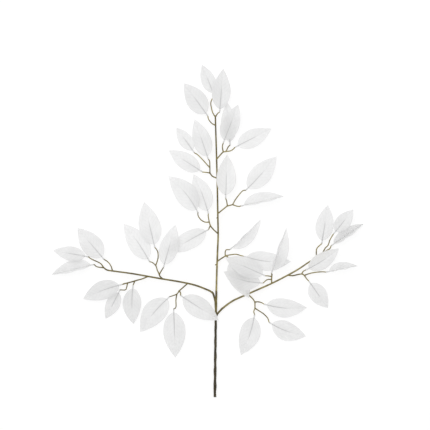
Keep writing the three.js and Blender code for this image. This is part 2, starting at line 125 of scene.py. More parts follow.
# The socket's section, from its floor out round the mouth to its front: place from front to mouth, and radius
SOCKET_BACK = [
    (0, 0.4), (0.1, 0.4), (0.2, 1), (0.3, 1), (0.4, 0.96),
    (0.5, 0.7), (0.6, 0.45), (0.7, 0.29), (0.8, 0.17), (1, 0),
]
SOCKET_WIDE = [
    (0, 0), (0.1, 0.57), (0.2, 0.57), (0.3, 0.88), (0.4, 0.97),
    (0.5, 0.93), (0.6, 0.84), (0.7, 0.72), (0.8, 0.5), (1, 0),
]

# Cloth: the distance between side veins and between threads, and how far from the rib the painted light
# beside a raised fold reaches
VEIN_PITCH = 7.4
THREAD_PITCH = 0.55
FOLD_LIGHT_REACH = 10
# How far a side vein leans to the tip, for each metre from the rib and for that distance squared
VEIN_SLANT = 0.8
VEIN_CURL = 14

# Points nearer than this become one: where two skins of a leaf meet, and in a skin made from tubes
EDGE_MERGE = 0.005
SKIN_MERGE = 0.008

# Centre lines of the stem and of the arms that leave it
STEM_LINE = [
    (0, 0, STEM_AXIS_HEIGHT), (0.5, 49, STEM_AXIS_HEIGHT), (1, 94, STEM_AXIS_HEIGHT),
    (1.5, 130, 2.2), (2, 155, 3), (2.6, 188, 4.8),
]
LEFT_ARM = [(1.9, 152, 2.9), (0.6, 170, 3.8), (-0.8, 179, 4.3), (-3.5, 186.5, 4.8)]
RIGHT_ARM = [(1.7, 139, 2.3), (3.5, 147, 2.5), (7, 152.5, 2.7), (12, 158, 3.1)]
HOLDERS = {"centre": STEM_LINE, "left": LEFT_ARM, "right": RIGHT_ARM}

# Centre lines of the branches, each from the arm that holds it out to its end
BRANCHES = {
    "centre": [
        (2.6, 188, 4.8), (2.8, 199, 5.6), (3.6, 229, 8), (4.9, 265, 11), (5.9, 292, 12.5), (5.3, 325, 13),
        (4.5, 373, 12.5), (3.6, 409, 12), (2.5, 450, 11.5), (1.5, 482, 11), (0.9, 504, 10.5),
    ],
    "left": [
        (-3.5, 186.5, 4.8), (-7.5, 190, 5.2), (-16, 194, 6), (-36, 201.5, 8), (-63, 207.5, 10),
        (-99, 213.5, 11.5), (-144, 221.5, 11.5), (-176, 226, 11), (-193, 228.5, 10.5), (-200, 233, 10.5),
    ],
    "right": [
        (12, 158, 3.1), (20, 164.5, 3.7), (29, 171, 4.6), (38, 176, 5.5), (56, 184, 7), (74, 192, 8.5),
        (103, 205, 10), (135, 221.5, 10), (153, 232, 9.5), (165.5, 240.5, 9.5), (185, 253, 10),
        (203.5, 265, 10.5),
    ],
}

# Stubs of twigs that were trimmed off: their branch, root and end in plan
STUBS = [("centre", (4.2, 239.5), (0.4, 237.5)), ("centre", (5.6, 324), (3.2, 321.5))]


def leaf(twig, base, tip, width, fold=USUAL_FOLD, bend=0):
    """One leaf: its twig in plan from the root outwards, its blade from base to tip, the blade's width,
    how far the left and right halves are raised in degrees, and how far the middle swings left."""
    return {"twig": twig, "base": base, "tip": tip, "width": width, "fold": fold, "bend": bend}


# The sprigs: branch, stalk in plan, height of the stalk's end, and three leaves each
SPRIGS = {
    "c1": ("centre", [], 0, [
        leaf([(1, 504), (-4, 512), (-7, 524), (-7, 531), (-4, 538)], (-3, 547, 9), (-23, 598, 0.4), 26),
        leaf([(1, 504), (5, 510)], (9, 518, 13), (15, 590, 16), 34),
        leaf([(1, 489), (-5, 492), (-11, 499)], (-16, 510, 14), (-55, 564, 17), 37),
    ]),
    "c2": ("centre", [(4, 428), (12, 438), (15, 441)], 12, [
        leaf([(15, 441), (13.5, 450)], (17, 462, 14), (42, 526, 21), 34),
        leaf([(15, 441), (22, 442), (28, 443), (33, 446)], (41, 452, 9), (102, 483, 3), 33),
        leaf([(20, 442), (24, 450)], (27, 459, 8), (22, 531, 2.5), 29),
    ]),
    "c3": ("centre", [(4, 394), (-4, 397), (-9, 403)], 12, [
        leaf([(-9, 403), (-14, 404)], (-27, 408, 9), (-83, 444, 4), 31),
        leaf([(-9, 403), (-9, 414), (-9.5, 424)], (-13.5, 433, 14), (-36, 499, 19), 34),
        leaf([(-9, 413), (-14, 418), (-22, 427), (-31, 436)], (-40, 444, 9), (-69, 485, 0.4), 25),
    ]),
    "c4": ("centre", [(5, 330), (12.5, 336), (22.5, 344)], 14, [
        leaf([(22.5, 344), (21, 353)], (19.5, 363, 17), (22, 436, 18), 36),
        leaf([(22.5, 344), (31.5, 346.5), (36, 354), (43, 363.5), (50, 371)],
             (59.5, 376, 13), (111, 433, 8), 38, bend=-1),
        leaf([(31.5, 346.5), (38, 344), (43, 343)], (52, 345, 12), (124, 361, 12), 34, fold=(8, 80)),
    ]),
    "c5": ("centre", [(5, 294), (-2, 301), (-8, 308)], 13, [
        leaf([(-8, 308), (-10, 315), (-12, 326)], (-13, 335, 11), (-38, 401, 2.5), 36, bend=-1.5),
        leaf([(-9.5, 315), (-18, 315), (-25, 319), (-30, 326)], (-33, 337, 17), (-83, 397, 20), 40, bend=-4),
        leaf([(-8, 308), (-10, 305)], (-16, 299, 9), (-86, 260, 3), 34),
    ]),
    "c6": ("centre", [(4.5, 244), (11, 249), (19, 254)], 12, [
        leaf([(19, 254), (18.5, 260.5), (20.5, 265)], (30.5, 269, 13), (83, 320, 14), 36, fold=(88, 8)),
        leaf([(19, 254), (27, 256), (38, 257), (46, 255)], (57, 252, 17), (137, 244, 11), 35, bend=-4),
        leaf([(20, 253.5)], (29, 245, 11.8), (61, 178.5, 10.2), 37, fold=(2, 2)),
    ]),
    "l1": ("left", [(-49, 204.5), (-57.5, 197), (-64, 191.5)], 11, [
        leaf([(-64, 191.5), (-68.5, 185.5), (-77, 182)], (-85.5, 177, 9), (-134, 117, 0.4), 42, bend=-3),
        leaf([(-68.5, 185.5), (-70, 174.5), (-70, 162)], (-74, 153, 11), (-71, 71, 0.4), 41),
        leaf([(-64, 191.5), (-61.5, 187)], (-57, 180, 13), (6.5, 138.6, 8.5), 38),
    ]),
    "l2": ("left", [(-94, 213), (-99, 218), (-100, 221.5)], 12, [
        leaf([(-100, 221.5), (-103.5, 228.5), (-106, 236), (-112, 242)],
             (-120, 248.5, 9), (-164, 311.5, 2), 38, bend=-2),
        leaf([(-106, 237), (-103.5, 245), (-102, 252), (-102.5, 261), (-105, 266)],
             (-109, 274.5, 16), (-127, 351, 20), 40),
        leaf([(-99.5, 221), (-95.5, 228.5)], (-91, 238.5, 12), (-70.5, 310.5, 13), 34),
    ]),
    "l3": ("left", [(-120, 217), (-130, 213), (-139, 210.5), (-151, 207), (-163, 204)], 11, [
        leaf([(-163, 204)], (-172, 201.5, 12), (-237, 176.5, 9), 35, bend=-2),
        leaf([(-157, 205.5), (-158.5, 198), (-161, 193)], (-173, 188, 8), (-197, 140.5, 0.4), 26),
        leaf([(-144, 209)], (-147.5, 196, 13), (-146.5, 131.5, 6), 34, bend=-2),
    ]),
    "l4": ("left", [], 0, [
        leaf([(-200, 233), (-207, 233.5), (-213, 235)],
             (-223, 237.5, 8), (-293.5, 220.5, 4), 34, fold=(75, 8)),
        leaf([(-200, 233), (-204.5, 239.5), (-211, 243.5), (-221, 248)],
             (-233, 253.5, 13), (-290, 264, 14), 27),
        leaf([(-184, 228), (-187, 236.5), (-193, 244)], (-202.5, 252, 15), (-246, 304, 20), 38),
    ]),
    "r1": ("right", [(60, 183.5), (64, 181), (68.5, 176.5), (72, 171)], 9, [
        leaf([(72, 171), (72, 160), (70, 154)], (70.5, 143, 6), (47, 75.5, 0.4), 38, bend=2.7),
        leaf([(72, 160), (79, 155.5), (88, 149.5), (95, 142)],
             (102.5, 131.5, 7), (164, 109, 0.4), 35, bend=-3),
        leaf([(72, 171), (77.5, 171.5), (84, 170)], (93.5, 166, 10), (165.5, 161, 7), 35, bend=-3.5),
    ]),
    "r2": ("right", [(102, 205), (102, 214), (102.5, 221)], 18, [
        leaf([(102, 211.5), (94, 211.5)], (81, 206, 24), (15.5, 226, 22), 34, fold=(4, 4), bend=4.5),
        leaf([(102, 217), (95, 218.5)], (85.5, 221, 30), (19, 251, 25), 36),
        leaf([(102.5, 221)], (103, 228, 21.5), (128, 304, 28), 36, fold=(78, 8)),
    ]),
    "r3": ("right", [(131.5, 219.5), (140, 218.5), (149, 220.5), (156.5, 221.5), (161, 219)], 10, [
        leaf([(156.5, 221.5), (158.5, 226)], (168.5, 231.5, 14), (223, 267.5, 17), 30, bend=-2),
        leaf([(161, 219), (167.5, 221.5), (175, 223.5), (185, 225), (194, 225.5)],
             (205, 226, 11), (256.5, 236, 10), 26, fold=(8, 86)),
        leaf([(161, 219), (165, 213)], (172, 204.5, 7), (203.5, 160, 0.4), 32),
    ]),
    "r4": ("right", [], 0, [
        leaf([(182.5, 252), (182.5, 263), (184.5, 269)], (193, 281.5, 9), (203.5, 345.5, 4), 33),
        leaf([(192.5, 260), (198, 267.5), (203.5, 273.5), (207, 283.5)],
             (216.5, 298, 16.5), (248.5, 337.5, 19), 28),
        leaf([(203.5, 265), (207, 267.5)], (214, 275.5, 6.5), (267.5, 311.5, 2.5), 32, fold=(32, 74)),
    ]),
}

# How dense the cloth of a sprig's leaves, or of one leaf, is: from 0 for the sheerest to 1
DENSITY = {
    "c1": 0.6, "c3": 0.2, "l1": 0.35, "l3": 0.75, "l4": 0.4,
    "r1": 0.3, "r3": 0.3, "r4": 0.25, "r4_c": 0.45,
}

# How pale the plastic is, from 0 to 1: at a branch's root, at its end, and at the ends of its twigs
PALENESS = {"centre": (0.9, 0, 1), "left": (0.4, 0.3, 0.55), "right": (0.65, 0.8, 0.95)}
# The same for a trimmed stub and for an arm, from root to end
STUB_PALENESS = (0.2, 0.1)
ARM_PALENESS = (0.5, 1)
# Shares of the twig ends' paleness: at a stalk's root, at its end, and at a twig's root
STALK_ROOT_SHARE = 0.6
STALK_END_SHARE = 0.7
TWIG_ROOT_SHARE = 0.7

# Steps between two listed points of a smooth line
STEM_STEPS = 16
ARM_STEPS = 6
BRANCH_STEPS = 4

# The studio, in metres and watts, with the camera's lens and sensor in millimetres
LAMP = Vector((-0.5, 0.7, 1.9))
LAMP_SIDE = Vector((LAMP.x, LAMP.y, 0)).normalized()
LAMP_SIZE = 1.6
LAMP_POWER = 9
ROOM_LIGHT = 0.7
FLOOR_LIGHT = 0.73
FLOOR_REACH = 6
PICTURE_MIDDLE = (0.01315, 0.02905)
PICTURE_WIDTH = 0.775
LENS = 200
SENSOR = 36


# Node trees written as formulas

class Signal:
    """A number or vector inside a node tree, so that a rule can be written with + - * / and **."""

    def __init__(self, rule, socket):
        self.rule = rule
        self.socket = socket

    @property
    def is_vector(self):
        return self.socket.type == "VECTOR"

    def __add__(self, other):
        return self.rule.combine("ADD", self, other)

    def __radd__(self, other):
        return self.rule.combine("ADD", other, self)

    def __sub__(self, other):
        return self.rule.combine("SUBTRACT", self, other)

    def __rsub__(self, other):
        return self.rule.combine("SUBTRACT", other, self)

    def __mul__(self, other):
        if self.is_vector:
            return self.rule.scaled(self, other)
        return self.rule.combine("MULTIPLY", self, other)

    __rmul__ = __mul__

    def __truediv__(self, other):
        return self.rule.combine("DIVIDE", self, other)

    def __pow__(self, other):
        return self.rule.combine("POWER", self, other)


class Rule:
    """A node tree that is being written. Each call adds one node and gives back what comes out of it."""

    def __init__(self, tree):
        self.tree = tree

    def add(self, kind, feeds=None, **settings):
        node = self.tree.nodes.new(kind)
        for name, value in settings.items():
            setattr(node, name, value)
        for name, value in (feeds or {}).items():
            self.feed(node.inputs[name], value)
        return node

    def feed(self, socket, value):
        if isinstance(value, Signal):
            value = value.socket
        if isinstance(value, bpy.types.NodeSocket):
            self.tree.links.new(value, socket)
        else:
            socket.default_value = value

    def combine(self, operation, *values):
        vectors = any(isinstance(v, Signal) and v.is_vector for v in values)
        node = self.add("ShaderNodeVectorMath" if vectors else "ShaderNodeMath", operation=operation)
        for socket, value in zip(node.inputs, values):
            self.feed(socket, value)
        return Signal(self, node.outputs[0])

    def scaled(self, vector, factor):
        node = self.add("ShaderNodeVectorMath", {"Vector": vector, "Scale": factor}, operation="SCALE")
        return Signal(self, node.outputs[0])

    def cross(self, first, second):
        return self.combine("CROSS_PRODUCT", first, second)

    def unit(self, vector):
        return self.combine("NORMALIZE", vector)

    def length(self, vector):
        node = self.add("ShaderNodeVectorMath", {"Vector": vector}, operation="LENGTH")
        return Signal(self, node.outputs["Value"])

    def parts(self, vector):
        node = self.add("ShaderNodeSeparateXYZ", {"Vector": vector})
        return [Signal(self, socket) for socket in node.outputs]

    def vector(self, x, y, z):
        return Signal(self, self.add("ShaderNodeCombineXYZ", {"X": x, "Y": y, "Z": z}).outputs[0])

    def ramp(self, value, start, end, low=0.0, high=1.0):
        """Low up to start, high from end on, with a smooth rise between."""
        feeds = {"Value": value, "From Min": start, "From Max": end, "To Min": low, "To Max": high}
        node = self.add("ShaderNodeMapRange", feeds, interpolation_type="SMOOTHSTEP")
        return Signal(self, node.outputs[0])

    def profile(self, value, points):
        """The height at value of straight lines through points, all from 0 to 1."""
        node = self.add("ShaderNodeFloatCurve", {"Value": value})
        curve = node.mapping.curves[0]
        while len(curve.points) < len(points):
            curve.points.new(0.5, 0.5)
        for point, place in zip(curve.points, points):
            point.location = place
            point.handle_type = "VECTOR"
        node.mapping.update()
        return Signal(self, node.outputs[0])

    def noise(self, place, scale, detail=2.0, roughness=0.5):
        feeds = {"Vector": place, "Scale": scale, "Detail": detail, "Roughness": roughness}
        return Signal(self, self.add("ShaderNodeTexNoise", feeds).outputs[0])

    def place(self):
        return Signal(self, self.add("GeometryNodeInputPosition").outputs[0])

    def facing(self):
        return Signal(self, self.add("GeometryNodeInputNormal").outputs[0])

    def on_line(self, measure):
        """How far along its line a point is: Length in metres, or Factor from 0 to 1."""
        return Signal(self, self.add("GeometryNodeSplineParameter").outputs[measure])

    def attribute(self, name):
        """A stored value of the piece, in a tree that makes a shape."""
        node = self.add("GeometryNodeInputNamedAttribute", {"Name": name}, data_type="FLOAT")
        return Signal(self, node.outputs["Attribute"])

    def put(self, geometry, way, value):
        """The geometry with its points moved: way is Position or Offset."""
        return self.add("GeometryNodeSetPosition", {"Geometry": geometry, way: value}).outputs[0]

    def kept(self, geometry, name, value, kind="FLOAT"):
        """The geometry with a value stored under a name."""
        feeds = {"Geometry": geometry, "Name": name, "Value": value}
        return self.add("GeometryNodeStoreNamedAttribute", feeds, data_type=kind).outputs[0]


def growing_rule(name, sizes):
    """An empty tree that makes a shape, and a signal for each of its named sizes."""
    tree = bpy.data.node_groups.new(name, "GeometryNodeTree")
    tree.interface.new_socket("Shape", in_out="OUTPUT", socket_type="NodeSocketGeometry")
    tree.interface.new_socket("Lines", in_out="INPUT", socket_type="NodeSocketGeometry")
    for label, (kind, value) in sizes.items():
        socket = tree.interface.new_socket(label, in_out="INPUT", socket_type=f"NodeSocket{kind}")
        if value is not None:
            socket.default_value = value
    rule = Rule(tree)
    start = rule.add("NodeGroupInput")
    return rule, start.outputs["Lines"], {label: Signal(rule, start.outputs[label]) for label in sizes}


def unit_grid(rule, rows, columns):
    """A sheet 1 long and 2 wide about the middle."""
    feeds = {"Size X": 1, "Size Y": 2, "Vertices X": rows, "Vertices Y": columns}
    return rule.add("GeometryNodeMeshGrid", feeds).outputs["Mesh"]


def turned_over(rule, shape):
    return rule.add("GeometryNodeFlipFaces", {"Mesh": shape}).outputs[0]


def joined(rule, shapes):
    node = rule.add("GeometryNodeJoinGeometry")
    for shape in shapes:
        rule.tree.links.new(shape, node.inputs[0])
    return node.outputs[0]


def closed(rule, shapes, near):
    """Shapes joined, with the points that meet made one."""
    feeds = {"Geometry": joined(rule, shapes), "Distance": near * MM}
    return rule.add("GeometryNodeMergeByDistance", feeds).outputs[0]


def clad(rule, shape, material):
    """The shape as plain mesh, all of one material."""
    shape = rule.add("GeometryNodeRealizeInstances", {"Geometry": shape}).outputs[0]
    return rule.add("GeometryNodeSetMaterial", {"Geometry": shape, "Material": material}).outputs[0]


def smoothed(rule, shape):
    return rule.add("GeometryNodeSetShadeSmooth", {"Geometry": shape}).outputs[0]


def finished(rule, shape):
    rule.add("NodeGroupOutput", {"Shape": shape})
    return rule.tree


def grown(name, tree, sizes, lines=None):
    """The plain mesh object that a tree makes with the given sizes, from the given lines."""
    carrier = bpy.data.objects.new(f"{name}_lines", lines or bpy.data.meshes.new(f"{name}_lines"))
    bpy.context.scene.collection.objects.link(carrier)
    modifier = carrier.modifiers.new(name, "NODES")
    modifier.node_group = tree
    for item in tree.interface.items_tree:
        if item.in_out == "INPUT" and item.name in sizes:
            modifier[item.identifier] = sizes[item.name]
    made = carrier.evaluated_get(bpy.context.evaluated_depsgraph_get())
    mesh = bpy.data.meshes.new_from_object(made)
    carrier.modifiers.remove(modifier)
    bpy.data.objects.remove(carrier)
    mesh.name = name
    piece = bpy.data.objects.new(name, mesh)
    bpy.context.scene.collection.objects.link(piece)
    return piece


# Lines in space

def spot(point):
    """A listed point in the part's frame, in metres."""
    return (Vector(point) + CUT_END) * MM


def mix(start, end, share):
    return start + (end - start) * share


def smooth_line(points, steps):
    """Points on a smooth curve through the listed ones, with that many steps between two of them."""
    ends = [2 * points[0] - points[1], *points, 2 * points[-1] - points[-2]]
    line = []
    for a, b, c, d in zip(ends, ends[1:], ends[2:], ends[3:]):
        for k in range(steps):
            t = k / steps
            bow = (2 * a - 5 * b + 4 * c - d) * t**2
            twist = (3 * b - a - 3 * c + d) * t**3
            line.append(0.5 * (2 * b + (c - a) * t + bow + twist))
    return [*line, points[-1]]


def root_on(carriers, plan):
    """The point on the carrying lines that is nearest in plan."""
    best, nearest = None, math.inf
    for line in carriers:
        for a, b in zip(line, line[1:]):
            span = b - a
            share = ((plan[0] - a.x) * span.x + (plan[1] - a.y) * span.y) / (span.x**2 + span.y**2)
            point = a + span * min(max(share, 0), 1)
            distance = math.hypot(point.x - plan[0], point.y - plan[1])
            if distance < nearest:
                best, nearest = point, distance
    return best


def lifted(root, plan, end):
    """A line in space over points listed in plan, rising evenly from its root to its end."""
    flat = [root, *[Vector((x, y, 0)) for x, y in plan], end]
    runs = [0.0]
    for a, b in zip(flat, flat[1:]):
        runs.append(runs[-1] + (b.xy - a.xy).length)
    return [Vector((p.x, p.y, mix(root.z, end.z, run / runs[-1]))) for p, run in zip(flat, runs)]


def leaf_start(one):
    """The base of a leaf and the direction in which it sets out."""
    base, tip = Vector(one["base"]), Vector(one["tip"])
    span = tip - base
    along = span.normalized()
    left = UP.cross(along).normalized()
    over = along.cross(left)
    return base, (span + over * 4 * USUAL_ARCH + left * 4 * one["bend"]).normalized()


def line_mesh(name, lines):
    """Loose edges along each line of (point, radius, paleness)."""
    points, edges, girths, pales = [], [], [], []
    for line in lines:
        first = len(points)
        edges += [(first + k, first + k + 1) for k in range(len(line) - 1)]
        for point, girth, pale in line:
            points.append(spot(point))
            girths.append(girth * MM)
            pales.append(pale)
    mesh = bpy.data.meshes.new(name)
    mesh.from_pydata(points, edges, [])
    mesh.attributes.new("girth", "FLOAT", "POINT").data.foreach_set("value", girths)
    mesh.attributes.new("pale", "FLOAT", "POINT").data.foreach_set("value", pales)
    return mesh


def tapered(points, start, end, pale_start, pale_end):
    """The points, each with a radius and a paleness that change evenly from the first to the last."""
    last = max(len(points) - 1, 1)
    return [(p, mix(start, end, k / last), mix(pale_start, pale_end, k / last)) for k, p in enumerate(points)]


def branch_lines(name):
    """The branch, its stalks and its twigs, each twig ending in the peg inside its leaf's socket."""
    listed = [Vector(p) for p in BRANCHES[name]]
    holder = [Vector(p) for p in HOLDERS[name]]
    along = (holder[-1] - holder[-2]).normalized()
    foot = listed[0] + along * (CLEARANCE - BRANCH_PEG_DEPTH)
    shoulder = listed[0] + along * CLEARANCE
    points = smooth_line(listed, BRANCH_STEPS)
    body = [shoulder + along * SHOULDER_LENGTH, *points[FIRST_PAST_SHOULDER:]]
    peg = [(foot, BRANCH_PEG_RADIUS, 0), (shoulder, BRANCH_PEG_RADIUS, 0)]
    pale_root, pale_end, pale_twig = PALENESS[name]
    lines = [peg + tapered(body, BRANCH_ROOT_RADIUS, BRANCH_TIP_RADIUS, pale_root, pale_end)]
    for branch, root, end in STUBS:
        if branch == name:
            start = root_on([points], root)
            stub = [start, Vector((*end, start.z))]
            lines.append(tapered(stub, STUB_ROOT_RADIUS, STUB_END_RADIUS, *STUB_PALENESS))
    stalk_pales = STALK_ROOT_SHARE * pale_twig, STALK_END_SHARE * pale_twig
    twig_pales = TWIG_ROOT_SHARE * pale_twig, pale_twig
    for branch, stalk, top, leaves in SPRIGS.values():
        if branch != name:
            continue
        carriers = [points]
        if stalk:
            end = Vector((*stalk[-1], top))
            line = lifted(root_on(carriers, stalk[0]), stalk[1:-1], end)
            carriers.append(line)
            lines.append(tapered(line, STALK_RADIUS, STALK_RADIUS, *stalk_pales))
        for one in leaves:
            base, start = leaf_start(one)
            mouth = base - start * SOCKET_DEPTH
            line = lifted(root_on(carriers, one["twig"][0]), one["twig"][1:], mouth)
            carriers.append(line)
            neck = mouth - start * SHOULDER_GAP
            peg = [neck + start * NECK_LENGTH, base - start * (SOCKET_FLOOR + CLEARANCE)]
            body = tapered([*line[:-1], neck], TWIG_ROOT_RADIUS, TWIG_END_RADIUS, *twig_pales)
            lines.append(body + [(p, TWIG_PEG_RADIUS, pale_twig) for p in peg])
    return lines


def stem_girth(y):
    """The stem's radius, with a knot in every pitch that fades towards the top."""
    top = STEM_LINE[-1][1]
    knot = -KNOT_RISE * math.cos(2 * math.pi * (y - FIRST_WAIST) / KNOT_PITCH)
    return mix(STEM_RADIUS, STEM_TOP_RADIUS, y / top) + knot * (1 - y / top)


def stem_lines():
    """The stem, turning olive below its fork, and the two arms that leave it."""
    points = smooth_line([Vector(p) for p in STEM_LINE], STEM_STEPS)
    stem = [(p, stem_girth(p.y), min(max((p.y - OLIVE_FROM) / OLIVE_OVER, 0), 1)) for p in points]
    sleeve = sleeve_end("centre")
    lines = [[*stem, (sleeve, SLEEVE_RADIUS, 1)]]
    for name in ("left", "right"):
        line = smooth_line([*[Vector(p) for p in HOLDERS[name]], sleeve_end(name)], ARM_STEPS)
        lines.append(tapered(line, ARM_ROOT_RADIUS, SLEEVE_RADIUS, *ARM_PALENESS))
    return lines


def sleeve_end(name):
    """Where the tape ends that is wound over the joint of a branch with its arm."""
    points = smooth_line([Vector(p) for p in BRANCHES[name]], BRANCH_STEPS)
    return points[0] + (points[2] - points[0]).normalized() * SLEEVE_LENGTH


def wire_line():
    """The wire, from just outside the cut end to where it stops inside the wrap."""
    ends = [(0, -WIRE_SHOWING, STEM_AXIS_HEIGHT), STEM_LINE[1], (1, WIRE_LENGTH, STEM_AXIS_HEIGHT)]
    return [(Vector(p), WIRE_RADIUS, 0) for p in ends]


# Shapes that follow a rule

def leaf_rule():
    """A leaf: a thin waved blade folded along its rib, and the hollow socket at the rib's foot."""
    rule, _, size = growing_rule("ficus_leaf", {
        "Base": ("Vector", (0, 0, 0)),
        "Tip": ("Vector", (0, USUAL_LENGTH * MM, 0)),
        "Width": ("Float", USUAL_WIDTH * MM),
        "Left fold": ("Float", math.radians(USUAL_FOLD[0])),
        "Right fold": ("Float", math.radians(USUAL_FOLD[1])),
        "Arch": ("Float", USUAL_ARCH * MM),
        "Bend": ("Float", 0.0),
        "Phase": ("Float", 0.0),
        "Thickness": ("Float", BLADE_THICKNESS * MM),
        "Wave": ("Float", EDGE_WAVE * MM),
        "Crown": ("Float", BLADE_CROWN * MM),
        "Rib rise": ("Float", RIB_RISE * MM),
        "Rib width": ("Float", RIB_WIDTH * MM),
        "Rib reach": ("Float", RIB_REACH),
        "Density": ("Float", 0.0),
        "Painted fold light": ("Float", 0.0),
        "Fabric": ("Material", None),
        "Socket plastic": ("Material", None),
    })
    base, tip = size["Base"], size["Tip"]
    span = tip - base
    long = rule.length(span)
    along = rule.unit(span)
    left = rule.unit(rule.cross(UP, along))
    over = rule.cross(along, left)
    # Four times, because u * (1 - u) is a quarter at the blade's middle
    swing = over * (size["Arch"] * 4) + left * (size["Bend"] * 4)
    start = rule.unit(span + swing)
    openness = rule.combine("COSINE", size["Left fold"]) * rule.combine("COSINE", size["Right fold"])

    def blade():
        grid = unit_grid(rule, BLADE_ROWS, 2 * len(BLADE_COLUMNS) - 1)
        row, side, _ = rule.parts(rule.place())
        u = (row + 0.5) ** ROW_CROWDING
        widest = SHARE_AT_BASE / (SHARE_AT_BASE + SHARE_AT_TIP)
        peak = widest**SHARE_AT_BASE * (1 - widest) ** SHARE_AT_TIP
        share = u**SHARE_AT_BASE * (1 - u) ** SHARE_AT_TIP / peak
        half = size["Width"] * share * 0.5
        on_left = rule.combine("GREATER_THAN", side, 0.0)
        sign = on_left * 2 - 1
        reach = rule.profile(rule.combine("ABSOLUTE", side), BLADE_COLUMNS)
        out = reach * half
        fold = size["Right fold"] + (size["Left fold"] - size["Right fold"]) * on_left
        swell = rule.combine("SINE", u * (2 * math.pi * EDGE_WAVES) + size["Phase"] * (2 - on_left))
        lift = share * (size["Wave"] * swell * reach * reach + size["Crown"] * reach * (1 - reach) * 4)
        cosine = rule.combine("COSINE", fold)
        sine = rule.combine("SINE", fold)
        midline = base + span * u + swing * (u * (1 - u))
        place = midline + left * (sign * (out * cosine - lift * sine)) + over * (out * sine + lift * cosine)
        rib = rule.combine("EXPONENT", (out / size["Rib width"]) ** 2 * -1)
        rib = rib * rule.ramp(u, RIB_FULL_TO, size["Rib reach"], 1.0, 0.0)
        skin = size["Thickness"] * 0.5 * rule.ramp(reach, BLADE_COLUMNS[-2][1], 1.0, 1.0, 0.0)
        rib = rib * size["Rib rise"] * (openness * (1 - FOLDED_RIB) + FOLDED_RIB)
        rise = (skin + rib) * rule.ramp(share, 0.0, FULL_SKIN_AT)
        sheet = rule.kept(grid, "leaf_place", rule.vector(u * long, sign * out, u), "FLOAT_VECTOR")
        values = {
            "leaf_edge": reach, "rib_shade": openness, "cloth_density": size["Density"],
            "painted_fold_light": size["Painted fold light"], "rise": rise,
        }
        for name, value in values.items():
            sheet = rule.kept(sheet, name, value)
        sheet = rule.put(sheet, "Position", place)
        top, under = [
            rule.put(sheet, "Offset", rule.facing() * (rule.attribute("rise") * way)) for way in (1, -1)
        ]
        return closed(rule, [top, turned_over(rule, under)], EDGE_MERGE)

    def socket():
        grid = unit_grid(rule, SOCKET_ROWS, SOCKET_SPOKES)
        row, turn, _ = rule.parts(rule.place())
        back = rule.profile(row + 0.5, SOCKET_BACK)
        girth = rule.profile(row + 0.5, SOCKET_WIDE) * (SOCKET_RADIUS * MM)
        side = rule.unit(rule.cross(over, start))
        lid = rule.cross(start, side)
        angle = (turn + 1) * math.pi
        middle = base + start * ((SOCKET_AHEAD - back) * (SOCKET_DEPTH * MM / (1 - SOCKET_AHEAD)))
        aside = side * (girth * rule.combine("COSINE", angle))
        above = lid * (girth * rule.combine("SINE", angle))
        skin = rule.kept(grid, "on_socket", 1.0)
        skin = rule.put(skin, "Position", middle + (aside + above))
        return closed(rule, [turned_over(rule, skin)], EDGE_MERGE)

    cloth = clad(rule, smoothed(rule, joined(rule, [blade(), socket()])), size["Fabric"])
    feeds = {"Geometry": cloth, "Selection": rule.attribute("on_socket"), "Material": size["Socket plastic"]}
    return finished(rule, rule.add("GeometryNodeSetMaterial", feeds).outputs[0])


def tube(rule, lines, sides, girth, step=None):
    """Round tubes along the lines, bent smoothly if there is a step between their rings.
    Their points keep the way along as run and the way round as turn."""
    curve = rule.add("GeometryNodeMeshToCurve", {"Mesh": lines}).outputs[0]
    if step:
        bent = rule.add("GeometryNodeCurveSplineType", {"Curve": curve}, spline_type="CATMULL_ROM")
        feeds = {"Curve": bent.outputs[0], "Length": step}
        curve = rule.add("GeometryNodeResampleCurve", feeds, mode="LENGTH").outputs[0]
    curve = rule.kept(curve, "run", rule.on_line("Length"))
    circle = rule.add("GeometryNodeCurvePrimitiveCircle", {"Resolution": sides, "Radius": 1.0})
    circle = rule.kept(circle.outputs["Curve"], "turn", rule.on_line("Factor"))
    feeds = {"Curve": curve, "Profile Curve": circle, "Scale": girth, "Fill Caps": True}
    return rule.add("GeometryNodeCurveToMesh", feeds).outputs[0]


def one_skin(rule, tubes, names):
    """The tubes as one skin with no faces inside it. Named values come from the nearest point of a tube."""
    feeds = {"Mesh 2": tubes, "Self Intersection": True}
    skin = rule.add("GeometryNodeMeshBoolean", feeds, operation="UNION", solver="EXACT").outputs["Mesh"]
    nearest = rule.add("GeometryNodeSampleNearest", {"Geometry": tubes}, domain="POINT").outputs[0]
    for name in names:
        feeds = {"Geometry": tubes, "Value": rule.attribute(name), "Index": nearest}
        value = rule.add("GeometryNodeSampleIndex", feeds, data_type="FLOAT", domain="POINT").outputs[0]
        skin = rule.kept(skin, name, value)
    return closed(rule, [skin], SKIN_MERGE)


def branch_rule():
    """A moulded branch: tubes along its lines, thick where one leaves another, with an uneven skin."""
    rule, lines, size = growing_rule("moulded_branch", {
        "Step": ("Float", 1.0 * MM),
        "Sides": ("Int", 10),
        "Flare": ("Float", 0.4 * MM),
        "Flare reach": ("Float", 1.8 * MM),
        "Knobs": ("Float", 0.34 * MM),
        "Plastic": ("Material", None),
    })
    flare = rule.combine("EXPONENT", rule.on_line("Length") / size["Flare reach"] * -1) * size["Flare"]
    # Only what is thicker than a leaf's peg flares
    flares = rule.ramp(rule.attribute("girth"), 0.6 * MM, 0.75 * MM)
    shape = tube(rule, lines, size["Sides"], rule.attribute("girth") + flare * flares, size["Step"])
    knobs = rule.noise(rule.place(), 150.0, 3.0, 0.6) - 0.5
    shape = rule.put(shape, "Offset", rule.facing() * (knobs * size["Knobs"]))
    shape = one_skin(rule, shape, ["pale"])
    return finished(rule, clad(rule, smoothed(rule, shape), size["Plastic"]))


